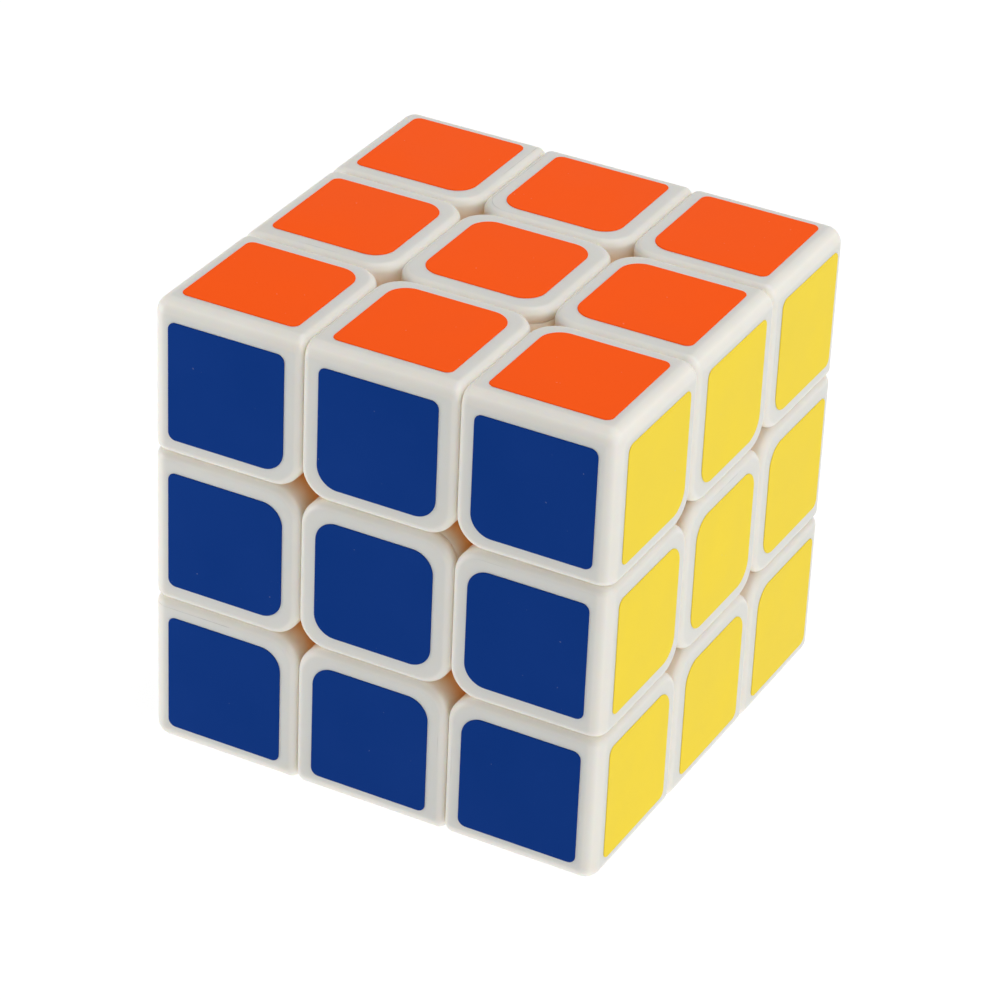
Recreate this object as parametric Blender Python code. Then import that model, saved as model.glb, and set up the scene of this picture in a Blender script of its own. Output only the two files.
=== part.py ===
"""Twisty puzzle cube: a six-armed core with spring-loaded centres, hooked edges and corners.

World frame: metres, +Z up, the cube stands on z = 0 with its middle over the origin.
The shapes below are worked out around the cube's centre, and their parent empties lift them.
The front face looks along -Y and the right face along +X.
"""

from math import cos, pi, radians, sin

import bmesh
import bpy
from mathutils import Matrix, Vector

MM = 0.001

# Driving dimensions
CUBE_SIDE = 57.0 * MM           # across two opposite faces
GAP = 0.3 * MM                  # free space between neighbouring pieces
WALL = 1.8 * MM                 # thickness of the moulded cubie walls
CORE_CAVITY_RADIUS = 14.0 * MM  # the feet hook over this sphere
FOOT_RADIUS = 21.0 * MM         # the feet turn under this sphere
FOOT_PLANE = 5.0 * MM           # the feet part on planes this far from the middle
FACET_ROOM = 0.1 * MM           # extra room over the feet, because the balls have flat facets
CROSSING_RADIUS = 4.0 * MM      # rounding of cubie edges that meet four at a time
OUTER_RADIUS = 2.0 * MM         # rounding of the cube's own twelve edges
RIM_RADIUS = 0.8 * MM           # rounding along the seams between cubies
CAP_THICKNESS = 1.7 * MM        # the plate of a centre cap

# Derived from them
HALF = CUBE_SIDE / 2
CUBIE_HALF = CUBE_SIDE / 6
CLEAR = GAP / 2                # each side of a parting surface gives up half of the gap
SEAM = CUBIE_HALF + CLEAR      # where an outer layer's cubies begin
INNER_HALF = CUBIE_HALF - CLEAR
FOOT_LOW = FOOT_PLANE + CLEAR
FOOT_HALF = FOOT_PLANE - CLEAR
BALL_OVER_FEET = FOOT_RADIUS + CLEAR + FACET_ROOM
BALL_OF_FEET = FOOT_RADIUS - CLEAR
BALL_IN_FEET = CORE_CAVITY_RADIUS + CLEAR

# Centre tower, as heights above the cube's middle
ARM_END = 11.0 * MM
STEM_END = ARM_END + 0.5 * MM
WELL_FLOOR = 13.5 * MM
SPRING_LENGTH = 5.6 * MM
WASHER_THICKNESS = 0.5 * MM
SCREW_HEAD_HEIGHT = 1.6 * MM
SCREW_END = 5.0 * MM
SCREW_BORE_END = 4.0 * MM
SPRING_LOW = WELL_FLOOR + GAP
WASHER_LOW = SPRING_LOW + SPRING_LENGTH + GAP
HEAD_LOW = WASHER_LOW + WASHER_THICKNESS + GAP
CAP_LOW = HALF - CAP_THICKNESS
CENTRE_TOP = CAP_LOW - GAP
CENTRE_FLOOR = BALL_OVER_FEET + WALL

# Radii in the centre tower
HUB_RADIUS = 7.0 * MM
ARM_RADIUS = 3.6 * MM
STEM_RADIUS = FOOT_HALF
WELL_RADIUS = 3.4 * MM
SHANK_RADIUS = 1.2 * MM
BORE_RADIUS = SHANK_RADIUS + GAP
HEAD_RADIUS = 2.6 * MM
WASHER_RADIUS = 3.0 * MM
SPRING_RADIUS = 2.6 * MM
SPRING_WIRE_RADIUS = 0.28 * MM
SPRING_TURNS = 4
RECESS_WIDTH = 0.6 * MM
RECESS_DEPTH = 0.9 * MM
CORNER_VENT_RADIUS = 2.5 * MM
EDGE_VENT_RADIUS = 2.2 * MM

ARC_STEPS = 2                  # facets of the large roundings
RIM_STEPS = 2                  # facets of the seam rounding
BALL_SEGMENTS = 28
HUB_SEGMENTS = 16
ROUND_STEPS = 12
SPRING_STEPS = 8               # straight stretches in one turn of wire
OVERSHOOT = 1.0 * MM           # how far a cutter runs past what it cuts

# Turns, in degrees about X, then Y, then Z, that carry a shape to its place
FACE_TURNS = {
    "top": (0, 0, 0),
    "bottom": (180, 0, 0),
    "front": (90, 0, 0),
    "back": (-90, 0, 0),
    "right": (0, 90, 0),
    "left": (0, -90, 0),
}
EDGE_TURNS = {
    "top_front_edge": (0, 0, 0),
    "top_right_edge": (0, 0, 90),
    "top_back_edge": (0, 0, 180),
    "top_left_edge": (0, 0, 270),
    "bottom_front_edge": (0, 180, 0),
    "bottom_right_edge": (0, 180, 90),
    "bottom_back_edge": (0, 180, 180),
    "bottom_left_edge": (0, 180, 270),
    "front_right_edge": (0, 90, 0),
    "back_right_edge": (0, 90, 90),
    "back_left_edge": (0, 90, 180),
    "front_left_edge": (0, 90, 270),
}
CORNER_TURNS = {
    "top_front_right_corner": (0, 0, 0),
    "top_back_right_corner": (0, 0, 90),
    "top_back_left_corner": (0, 0, 180),
    "top_front_left_corner": (0, 0, 270),
    "bottom_front_left_corner": (0, 180, 0),
    "bottom_front_right_corner": (0, 180, 90),
    "bottom_back_right_corner": (0, 180, 180),
    "bottom_back_left_corner": (0, 180, 270),
}
EDGE_OUTWARD = Vector((0, -1, 1))
CORNER_OUTWARD = Vector((1, -1, 1))
CENTRE_OUTWARD = Vector((0, 0, 1))


def clear_scene():
    """Remove every object that the file opened with."""
    for obj in list(bpy.data.objects):
        bpy.data.objects.remove(obj, do_unlink=True)


def new_collection(name):
    collection = bpy.data.collections.new(name)
    bpy.context.scene.collection.children.link(collection)
    return collection


def new_material(name, colour, roughness, metallic):
    material = bpy.data.materials.new(name)
    material.use_nodes = True
    shader = material.node_tree.nodes["Principled BSDF"]
    shader.inputs["Base Color"].default_value = (*colour, 1.0)
    shader.inputs["Roughness"].default_value = roughness
    shader.inputs["Metallic"].default_value = metallic
    return material


def solid(bm, name):
    """Turn a bmesh into a working object at the cube's centre."""
    mesh = bpy.data.meshes.new(name)
    bm.to_mesh(mesh)
    bm.free()
    obj = bpy.data.objects.new(name, mesh)
    workshop.objects.link(obj)
    return obj


def block_mesh(low, high):
    """A bmesh box between two opposite corners."""
    low, high = Vector(low), Vector(high)
    bm = bmesh.new()
    place = Matrix.Translation((low + high) / 2) @ Matrix.Diagonal((*(high - low), 1.0))
    bmesh.ops.create_cube(bm, size=1.0, matrix=place)
    return bm


def block(low, high):
    return solid(block_mesh(low, high), "block")


def ball(radius, segments=BALL_SEGMENTS):
    bm = bmesh.new()
    bmesh.ops.create_uvsphere(bm, u_segments=segments, v_segments=segments // 2, radius=radius)
    return solid(bm, "ball")


def rod(radius, low, high, direction=CENTRE_OUTWARD):
    """A round bar along a direction, between two distances from the centre."""
    turn = direction.to_track_quat("Z", "Y").to_matrix().to_4x4()
    bm = bmesh.new()
    bmesh.ops.create_cone(
        bm,
        cap_ends=True,
        segments=ROUND_STEPS,
        radius1=radius,
        radius2=radius,
        depth=high - low,
        matrix=turn @ Matrix.Translation((0, 0, (low + high) / 2)),
    )
    return solid(bm, "rod")


def combine(target, tool, operation):
    """Apply an exact Boolean of the tool to the target, and drop the tool."""
    step = target.modifiers.new(operation.lower(), "BOOLEAN")
    step.operation = operation
    step.solver = "EXACT"
    step.object = tool
    depsgraph = bpy.context.evaluated_depsgraph_get()
    result = bpy.data.meshes.new_from_object(target.evaluated_get(depsgraph))
    target.modifiers.clear()
    target.data = result
    bpy.data.objects.remove(tool, do_unlink=True)


def finished(obj, name, material):
    """Take the finished mesh off its working object."""
    mesh = obj.data
    mesh.name = name
    mesh.materials.clear()
    mesh.materials.append(material)
    mesh.shade_smooth()
    mesh.set_sharp_from_angle(angle=radians(35))
    bpy.data.objects.remove(obj, do_unlink=True)
    return mesh


def faces_out(face, outward):
    return face.normal.dot(outward) > 0.01


def round_edges(bm, edges, radius, steps):
    bmesh.ops.bevel(
        bm, geom=edges, offset=radius, segments=steps, profile=0.5, affect="EDGES"
    )
    bm.normal_update()


def crossing_edges(bm, outward):
    """Edges between hidden sides that run out to an outer face."""
    return [
        edge
        for edge in bm.edges
        if not any(faces_out(face, outward) for face in edge.link_faces)
        and any(faces_out(face, outward) for vert in edge.verts for face in vert.link_faces)
    ]


def outer_edges(bm, outward):
    """Edges between two outer faces: stretches of the cube's own edges."""
    return [e for e in bm.edges if all(faces_out(face, outward) for face in e.link_faces)]


def rim_edges(bm, outward):
    """The closed line where the outer skin turns into the hidden sides."""
    return [
        edge
        for edge in bm.edges
        if len({faces_out(face, outward) for face in edge.link_faces}) == 2
    ]


def cubie_block(low, high, outward):
    """A cubie's outer body: a box with crossing, outer and rim edges rounded in turn."""
    bm = block_mesh(low, high)
    bm.normal_update()
    round_edges(bm, crossing_edges(bm, outward), CROSSING_RADIUS, ARC_STEPS)
    outer = outer_edges(bm, outward)
    if outer:
        round_edges(bm, outer, OUTER_RADIUS, ARC_STEPS)
    round_edges(bm, rim_edges(bm, outward), RIM_RADIUS, RIM_STEPS)
    return solid(bm, "cubie")


def corner_mesh(material):
    """A corner: hollow box, hooked foot under the neighbours, vent down its diagonal."""
    body = cubie_block((SEAM, -HALF, SEAM), (HALF, -SEAM, HALF), CORNER_OUTWARD)
    foot = block((FOOT_LOW, -FOOT_RADIUS, FOOT_LOW), (FOOT_RADIUS, -FOOT_LOW, FOOT_RADIUS))
    combine(foot, ball(BALL_OF_FEET), "INTERSECT")
    combine(body, foot, "UNION")
    combine(body, ball(BALL_IN_FEET), "DIFFERENCE")
    low, high = SEAM + WALL, HALF - WALL
    combine(body, block((low, -high, low), (high, -low, high)), "DIFFERENCE")
    vent_end = low * 3**0.5 + OVERSHOOT
    combine(body, rod(CORNER_VENT_RADIUS, 0, vent_end, CORNER_OUTWARD), "DIFFERENCE")
    return finished(body, "corner", material)


def edge_mesh(material):
    """An edge: hollow box over the feet, a neck, a narrower foot and a vent through them."""
    body = cubie_block((-INNER_HALF, -HALF, SEAM), (INNER_HALF, -SEAM, HALF), EDGE_OUTWARD)
    combine(body, ball(BALL_OVER_FEET), "DIFFERENCE")
    neck = block((-FOOT_HALF, -2 * SEAM, SEAM), (FOOT_HALF, -SEAM, 2 * SEAM))
    foot = block(
        (-FOOT_HALF, -FOOT_RADIUS, FOOT_LOW), (FOOT_HALF, -FOOT_LOW, FOOT_RADIUS)
    )
    combine(foot, ball(BALL_OF_FEET), "INTERSECT")
    combine(foot, neck, "UNION")
    combine(body, foot, "UNION")
    combine(body, ball(BALL_IN_FEET), "DIFFERENCE")
    low, high = (BALL_OVER_FEET + WALL) / 2**0.5, HALF - WALL
    side = INNER_HALF - WALL
    combine(body, block((-side, -high, low), (side, -low, high)), "DIFFERENCE")
    vent_end = low * 2**0.5 + OVERSHOOT
    combine(body, rod(EDGE_VENT_RADIUS, 0, vent_end, EDGE_OUTWARD), "DIFFERENCE")
    return finished(body, "edge", material)


def centre_mesh(material):
    """A centre: open box on a round stem, with a well for the spring and screw."""
    body = cubie_block(
        (-INNER_HALF, -INNER_HALF, SEAM), (INNER_HALF, INNER_HALF, HALF), CENTRE_OUTWARD
    )
    lid = block((-HALF, -HALF, CENTRE_TOP), (HALF, HALF, HALF + OVERSHOOT))
    combine(body, lid, "DIFFERENCE")
    combine(body, ball(BALL_OVER_FEET), "DIFFERENCE")
    combine(body, rod(STEM_RADIUS, STEM_END, CENTRE_FLOOR - WALL / 2), "UNION")
    side = INNER_HALF - WALL
    room = block((-side, -side, CENTRE_FLOOR), (side, side, HALF))
    combine(body, room, "DIFFERENCE")
    combine(body, rod(WELL_RADIUS, WELL_FLOOR, CENTRE_FLOOR + OVERSHOOT), "DIFFERENCE")
    combine(body, rod(BORE_RADIUS, STEM_END - OVERSHOOT, WELL_FLOOR + OVERSHOOT), "DIFFERENCE")
    return finished(body, "centre", material)


def cap_mesh(material):
    """A centre cap: a plate with a square skirt that plugs into the centre's opening."""
    body = cubie_block(
        (-INNER_HALF, -INNER_HALF, SEAM), (INNER_HALF, INNER_HALF, HALF), CENTRE_OUTWARD
    )
    below = block((-HALF, -HALF, SEAM - OVERSHOOT), (HALF, HALF, CAP_LOW))
    combine(body, below, "DIFFERENCE")
    outside = INNER_HALF - WALL - GAP
    inside = outside - WALL / 2
    skirt_low = CAP_LOW - WALL
    skirt = block((-outside, -outside, skirt_low), (outside, outside, CAP_LOW + WALL / 2))
    combine(body, skirt, "UNION")
    hollow = block((-inside, -inside, skirt_low - OVERSHOOT), (inside, inside, CAP_LOW))
    combine(body, hollow, "DIFFERENCE")
    return finished(body, "cap", material)


def core_mesh(material):
    """The core: a ball with six round arms, each with a blind hole for its screw."""
    body = ball(HUB_RADIUS, HUB_SEGMENTS)
    for axis in (Vector((1, 0, 0)), Vector((0, 1, 0)), Vector((0, 0, 1))):
        combine(body, rod(ARM_RADIUS, -ARM_END, ARM_END, axis), "UNION")
    for turn in FACE_TURNS.values():
        direction = CENTRE_OUTWARD.copy()
        direction.rotate(turn_matrix(turn).to_3x3())
        hole = rod(BORE_RADIUS, SCREW_BORE_END, ARM_END + OVERSHOOT, direction)
        combine(body, hole, "DIFFERENCE")
    return finished(body, "core", material)


def screw_mesh(material):
    """A tension screw: cheese head with a cross recess on a plain shank."""
    body = rod(HEAD_RADIUS, HEAD_LOW, HEAD_LOW + SCREW_HEAD_HEIGHT)
    combine(body, rod(SHANK_RADIUS, SCREW_END, HEAD_LOW + SCREW_HEAD_HEIGHT / 2), "UNION")
    reach = HEAD_RADIUS * 0.6
    floor = HEAD_LOW + SCREW_HEAD_HEIGHT - RECESS_DEPTH
    top = HEAD_LOW + SCREW_HEAD_HEIGHT + OVERSHOOT
    slot = block((-reach, -RECESS_WIDTH / 2, floor), (reach, RECESS_WIDTH / 2, top))
    cross = block((-RECESS_WIDTH / 2, -reach, floor), (RECESS_WIDTH / 2, reach, top))
    combine(slot, cross, "UNION")
    combine(body, slot, "DIFFERENCE")
    return finished(body, "screw", material)


def washer_mesh(material):
    """A flat ring under the screw's head."""
    body = rod(WASHER_RADIUS, WASHER_LOW, WASHER_LOW + WASHER_THICKNESS)
    hole = rod(BORE_RADIUS, WASHER_LOW - OVERSHOOT, HEAD_LOW + OVERSHOOT)
    combine(body, hole, "DIFFERENCE")
    return finished(body, "washer", material)


def spring_mesh(material):
    """A compression spring: wire of round section along a helix."""
    steps = SPRING_TURNS * SPRING_STEPS
    curve = bpy.data.curves.new("spring", "CURVE")
    curve.dimensions = "3D"
    curve.bevel_depth = SPRING_WIRE_RADIUS
    curve.bevel_resolution = 1
    curve.use_fill_caps = True
    spline = curve.splines.new("POLY")
    spline.points.add(steps)
    rise = SPRING_LENGTH - 2 * SPRING_WIRE_RADIUS
    for index, point in enumerate(spline.points):
        angle = 2 * pi * index / SPRING_STEPS
        height = SPRING_LOW + SPRING_WIRE_RADIUS + rise * index / steps
        point.co = (SPRING_RADIUS * cos(angle), SPRING_RADIUS * sin(angle), height, 1)
    wire = bpy.data.objects.new("wire", curve)
    workshop.objects.link(wire)
    depsgraph = bpy.context.evaluated_depsgraph_get()
    bm = bmesh.new()
    bm.from_mesh(bpy.data.meshes.new_from_object(wire.evaluated_get(depsgraph)))
    bmesh.ops.remove_doubles(bm, verts=bm.verts, dist=0.01 * MM)
    bpy.data.objects.remove(wire, do_unlink=True)
    return finished(solid(bm, "spring"), "spring", material)


def turn_matrix(turn):
    """The rotation matrix for three angles in degrees about X, Y and Z."""
    about_x, about_y, about_z = (Matrix.Rotation(radians(a), 4, n) for a, n in zip(turn, "XYZ"))
    return about_z @ about_y @ about_x


def place(name, mesh, turn, parent):
    """Put one piece on its parent empty, turned about the cube's centre."""
    obj = bpy.data.objects.new(name, mesh)
    obj.parent = parent
    obj.matrix_basis = turn_matrix(turn)
    model.objects.link(obj)
    return obj


def axis_empty(name, parent=None, location=(0, 0, 0)):
    empty = bpy.data.objects.new(name, None)
    empty.parent = parent
    empty.location = location
    model.objects.link(empty)
    return empty


def layer_of(name, layers):
    """The layer that a piece turns with, from the first word of its name."""
    return layers.get(name.split("_")[0], layers["middle"])


clear_scene()
model = new_collection("puzzle_cube")
workshop = new_collection("workshop")

white_plastic = new_material("white_plastic", (0.80, 0.78, 0.72), 0.38, 0.0)
core_plastic = new_material("core_plastic", (0.62, 0.42, 0.22), 0.5, 0.0)
steel = new_material("steel", (0.60, 0.60, 0.62), 0.3, 1.0)

cube_middle = axis_empty("cube_middle", location=(0, 0, HALF))
layer_axes = {
    "top": axis_empty("top_layer_axis", cube_middle),
    "middle": axis_empty("middle_layer_axis", cube_middle),
    "bottom": axis_empty("bottom_layer_axis", cube_middle),
}

place("core", core_mesh(core_plastic), FACE_TURNS["top"], cube_middle)
corner = corner_mesh(white_plastic)
for corner_name, corner_turn in CORNER_TURNS.items():
    place(corner_name, corner, corner_turn, layer_of(corner_name, layer_axes))

edge = edge_mesh(white_plastic)
for edge_name, edge_turn in EDGE_TURNS.items():
    place(edge_name, edge, edge_turn, layer_of(edge_name, layer_axes))

centre = centre_mesh(white_plastic)
cap = cap_mesh(white_plastic)
screw = screw_mesh(steel)
washer = washer_mesh(steel)
spring = spring_mesh(steel)
for face_name, face_turn in FACE_TURNS.items():
    slide_axis = axis_empty(f"{face_name}_slide_axis", layer_of(face_name, layer_axes))
    place(f"{face_name}_centre", centre, face_turn, slide_axis)
    place(f"{face_name}_cap", cap, face_turn, slide_axis)
    place(f"{face_name}_screw", screw, face_turn, cube_middle)
    place(f"{face_name}_washer", washer, face_turn, cube_middle)
    place(f"{face_name}_spring", spring, face_turn, cube_middle)
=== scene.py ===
from math import cos, pi, radians, sin

import bpy
import numpy as np
from mathutils import Matrix, Vector


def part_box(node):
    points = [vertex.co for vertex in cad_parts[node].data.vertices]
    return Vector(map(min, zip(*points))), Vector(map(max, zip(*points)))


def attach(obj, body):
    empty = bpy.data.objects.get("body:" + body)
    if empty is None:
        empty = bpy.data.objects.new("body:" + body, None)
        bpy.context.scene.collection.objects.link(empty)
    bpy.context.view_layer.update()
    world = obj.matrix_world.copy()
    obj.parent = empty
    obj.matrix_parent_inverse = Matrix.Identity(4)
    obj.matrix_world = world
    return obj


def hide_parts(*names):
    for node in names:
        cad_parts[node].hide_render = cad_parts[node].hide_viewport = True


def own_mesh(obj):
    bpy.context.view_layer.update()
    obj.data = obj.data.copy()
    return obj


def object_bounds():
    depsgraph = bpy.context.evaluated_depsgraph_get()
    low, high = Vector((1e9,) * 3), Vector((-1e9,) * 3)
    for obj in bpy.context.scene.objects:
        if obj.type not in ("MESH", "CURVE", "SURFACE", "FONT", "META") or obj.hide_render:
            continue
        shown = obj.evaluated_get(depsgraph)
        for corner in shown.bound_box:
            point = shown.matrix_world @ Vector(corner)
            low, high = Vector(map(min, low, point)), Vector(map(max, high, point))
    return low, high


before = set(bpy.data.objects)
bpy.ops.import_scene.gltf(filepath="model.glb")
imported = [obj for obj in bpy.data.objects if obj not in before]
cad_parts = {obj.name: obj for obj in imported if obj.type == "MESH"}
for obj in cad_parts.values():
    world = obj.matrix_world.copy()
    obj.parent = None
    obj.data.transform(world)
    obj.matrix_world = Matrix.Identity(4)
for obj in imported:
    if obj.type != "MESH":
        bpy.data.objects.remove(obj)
cad_low, cad_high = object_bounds()
MM = 0.001

# ---------------------------------------------------------------------------
# Camera: a long lens looks down on the top, front and right faces, with the
# nearest upright edge of the cube a little right of the middle.
# ---------------------------------------------------------------------------
HALF = (cad_high.z - cad_low.z) / 2
MIDDLE = Vector((0, 0, HALF))
VIEW_AZIMUTH = radians(27.0)
VIEW_ELEVATION = radians(30.7)
VIEW_ROLL = radians(2.6)
VIEW_DISTANCE = 474.8 * MM
VIEW_LENS = 150.5
AIM_RIGHT = 0.42 * MM
AIM_UP = -2.06 * MM


def view_axes(azimuth, elevation):
    """Right, up and back directions of a camera that looks at the cube's middle."""
    right = Vector((cos(azimuth), sin(azimuth), 0))
    back = Vector((sin(azimuth) * cos(elevation), -cos(azimuth) * cos(elevation), sin(elevation)))
    return right, back.cross(right), back


right, up, back = view_axes(VIEW_AZIMUTH, VIEW_ELEVATION)
lens = bpy.data.cameras.new("camera")
lens.lens = VIEW_LENS
lens.sensor_width = 36.0
lens.clip_start = 0.01
camera = bpy.data.objects.new("camera", lens)
rolled_right = right * cos(VIEW_ROLL) + up * sin(VIEW_ROLL)
rolled_up = up * cos(VIEW_ROLL) - right * sin(VIEW_ROLL)
place = Matrix((rolled_right, rolled_up, back)).transposed().to_4x4()
place.translation = MIDDLE + back * VIEW_DISTANCE + right * AIM_RIGHT + up * AIM_UP
camera.matrix_world = place
bpy.context.scene.collection.objects.link(camera)
bpy.context.scene.camera = camera

# ---------------------------------------------------------------------------
# Core: one six-armed moulding in the middle of the cube. It stays as the
# frame gives it, in a tough amber plastic.
# ---------------------------------------------------------------------------
CORE_COLOUR = (0.62, 0.42, 0.22)
CORE_GRAIN = 5200.0
MOTTLE_SCALE = 160.0
GRAIN_DEPTH = 0.02 * MM


class Finish:
    """A material under construction: its shader, and short ways to add nodes."""

    def __init__(self, name, tree=None):
        if tree is None:
            self.material = bpy.data.materials.new(name)
            self.material.use_nodes = True
            tree = self.material.node_tree
            self.shader = tree.nodes["Principled BSDF"]
        self.tree = tree

    def node(self, kind, settings=(), **sockets):
        """Add a node, set its properties, and set or link its inputs by name or number."""
        made = self.tree.nodes.new(kind)
        for key, value in dict(settings).items():
            setattr(made, key, value)
        for key, value in sockets.items():
            name = key.replace("_", " ")
            socket = made.inputs[int(key[1:])] if key[1:].isdigit() else made.inputs[name]
            self.feed(socket, value)
        return made

    def feed(self, socket, value):
        """Link a node's output to a socket, or set the socket to a plain value."""
        if isinstance(value, bpy.types.NodeSocket):
            self.tree.links.new(value, socket)
        else:
            socket.default_value = value

    def maths(self, operation, *values):
        """One sum on plain values or outputs, such as ADD or MAXIMUM."""
        made = self.tree.nodes.new("ShaderNodeMath")
        made.operation = operation
        for socket, value in zip(made.inputs, values):
            self.feed(socket, value)
        return made.outputs[0]

    def length(self, *sides):
        """The long side of a right triangle with these two short sides."""
        return self.maths("SQRT", self.maths("ADD", *(self.maths("POWER", a, 2.0) for a in sides)))

    def band(self, value, low, high, out_low=0.0, out_high=1.0):
        """A value taken smoothly from one range to another, and held at its ends."""
        made = self.node(
            "ShaderNodeMapRange",
            {"interpolation_type": "SMOOTHSTEP"},
            i0=value, i1=low, i2=high, i3=out_low, i4=out_high,
        )
        return made.outputs[0]

    def mixed(self, share, first, second, blend="MIX"):
        """Two colours blended, with the second's share of the blend."""
        made = self.node("ShaderNodeMix", {"data_type": "RGBA", "blend_type": blend})
        for index, value in ((0, share), (6, first), (7, second)):
            self.feed(made.inputs[index], value)
        return made.outputs[2]

    def noise(self, vector, scale, detail=2.0, roughness=0.5):
        """Cloudy values about a half, with so many clouds to a metre."""
        made = self.node(
            "ShaderNodeTexNoise", Vector=vector, Scale=scale, Detail=detail, Roughness=roughness
        )
        return made.outputs["Fac"]

    def use(self, group, **sockets):
        """Place a node group, set or link its inputs, and hand back its outputs."""
        made = self.tree.nodes.new("ShaderNodeGroup")
        made.node_tree = group
        for key, value in sockets.items():
            self.feed(made.inputs[key.replace("_", " ")], value)
        return made.outputs


def new_group(name, inputs, outputs):
    """An empty node group with named inputs and outputs of the given socket kinds."""
    group = bpy.data.node_groups.new(name, "ShaderNodeTree")
    for socket, kind in inputs.items():
        group.interface.new_socket(socket, in_out="INPUT", socket_type="NodeSocket" + kind)
    for socket, kind in outputs.items():
        group.interface.new_socket(socket, in_out="OUTPUT", socket_type="NodeSocket" + kind)
    kit = Finish(name, tree=group)
    taken = group.nodes.new("NodeGroupInput").outputs
    given = group.nodes.new("NodeGroupOutput").inputs
    return group, kit, taken, given


def moulded_grain_group():
    """Soft mottling and fine spark-eroded grain of moulded plastic, from two noises."""
    group, kit, taken, given = new_group(
        "moulded_grain", {"Grain Scale": "Float"}, {"Mottle": "Float", "Grain": "Float"}
    )
    place = kit.tree.nodes.new("ShaderNodeTexCoord").outputs["Object"]
    kit.feed(given["Mottle"], kit.noise(place, MOTTLE_SCALE, 3.0))
    kit.feed(given["Grain"], kit.noise(place, taken["Grain Scale"], 2.0, 0.6))
    return group


moulded_grain = moulded_grain_group()


def bumped(kit, height, strength, distance):
    """Feed a height to the shader's normal through a Bump node."""
    bump = kit.node("ShaderNodeBump", Strength=strength, Distance=distance, Height=height)
    kit.feed(kit.shader.inputs["Normal"], bump.outputs["Normal"])


def rgba(colour):
    return (*colour, 1.0)


def shade(colour, factor):
    return tuple(channel * factor for channel in colour)


def core_plastic():
    """Amber moulded plastic with faint flow marks."""
    kit = Finish("core_plastic")
    grain = kit.use(moulded_grain, Grain_Scale=CORE_GRAIN)
    colour = kit.mixed(grain["Mottle"], rgba(shade(CORE_COLOUR, 0.9)), rgba(shade(CORE_COLOUR, 1.1)))
    kit.feed(kit.shader.inputs["Base Color"], colour)
    kit.feed(kit.shader.inputs["Roughness"], kit.band(grain["Mottle"], 0.3, 0.7, 0.42, 0.52))
    bumped(kit, grain["Grain"], 0.2, GRAIN_DEPTH)
    return kit.material


def dress(node_name, material):
    """Give a frame node its finish."""
    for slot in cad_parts[node_name].material_slots:
        slot.link = "OBJECT"
        slot.material = material


dress("core", core_plastic())

# ---------------------------------------------------------------------------
# Tension screws: plated steel, one turned into each arm of the core. A cross
# recess in the cheese head takes the driver that sets the spring.
# ---------------------------------------------------------------------------
FACE_TURNS = {
    "top": (0, 0, 0),
    "bottom": (180, 0, 0),
    "front": (90, 0, 0),
    "back": (-90, 0, 0),
    "right": (0, 90, 0),
    "left": (0, -90, 0),
}
STEEL_COLOUR = (0.62, 0.61, 0.60)
STEEL_GRAIN = 9000.0
HEAD_EDGE = 0.25 * MM
HEAD_OVER_WASHER = 0.3 * MM
UNDER_EDGE = 0.1 * MM
RECESS_REACH = 1.55 * MM
RECESS_WIDTH = 0.62 * MM
RECESS_DEPTH = 0.9 * MM
RECESS_LIP = 0.05 * MM
RECESS_FLARE = 0.08 * MM
SHANK_RADIUS = 1.2 * MM
SHANK_TIP = 0.4 * MM
THREAD_PITCH = 0.45 * MM
THREAD_DEPTH = 0.12 * MM

# Angles of the places round every ring, closer together at the diagonals, where the corners of
# the square rings are
RING_POINTS = 192
DIAGONAL_PULL = 0.15
step = np.arange(RING_POINTS) * 2 * pi / RING_POINTS
around = step + DIAGONAL_PULL * np.sin(4 * step)


def turn_matrix(turn):
    """The 3x3 rotation for three angles in degrees about X, then Y, then Z."""
    about_x, about_y, about_z = (Matrix.Rotation(radians(a), 3, n) for a, n in zip(turn, "XYZ"))
    return np.array(about_z @ about_y @ about_x)


def new_piece(name, points, faces, material, turn=(0, 0, 0), normals=None):
    """A mesh piece, turned about the cube's middle and lifted to it, shaded smooth."""
    spin = turn_matrix(turn)
    mesh = bpy.data.meshes.new(name)
    mesh.from_pydata((points @ spin.T + np.array(MIDDLE)).tolist(), [], faces)
    mesh.materials.append(material)
    mesh.shade_smooth()
    if normals is not None:
        mesh.normals_split_custom_set_from_vertices((normals @ spin.T).tolist())
    piece = bpy.data.objects.new(name, mesh)
    bpy.context.scene.collection.objects.link(piece)
    return piece


def face_volume(points, faces):
    """Six times the volume that the faces close, positive if they point outwards."""
    corners = [points[np.array([face[i] for face in faces])] for i in range(3)]
    last = points[np.array([face[-1] for face in faces])]
    one = np.einsum("ij,ij->", corners[0], np.cross(corners[1], corners[2]))
    return one + np.einsum("ij,ij->", corners[0], np.cross(corners[2], last))


def outwards(points, faces):
    """The same faces, all turned round if they point inwards."""
    return faces if face_volume(points, faces) > 0 else [face[::-1] for face in faces]


def lofted(rings, through=False):
    """Points and faces of a skin over closed rings, one after another.

    Point (i, j) is place j on ring i, and each face joins two places on two rings. A through skin
    goes back from the last ring to the first. Any other is closed at each end by one pole, in the
    middle of its end ring.
    """
    count, size = rings.shape[:2]
    here = np.arange(size)
    after = (here + 1) % size
    steps = count if through else count - 1
    faces = []
    for i in range(steps):
        a, b = i * size, (i + 1) % count * size
        faces += np.column_stack((a + here, a + after, b + after, b + here)).tolist()
    points = rings.reshape(-1, 3)
    if not through:
        poles = count * size + np.arange(2)
        points = np.vstack((points, rings[0].mean(0), rings[-1].mean(0)))
        last = (count - 1) * size
        faces += np.column_stack((np.full(size, poles[0]), after, here)).tolist()
        faces += np.column_stack((np.full(size, poles[1]), last + here, last + after)).tolist()
    return points, outwards(points, faces)


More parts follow.
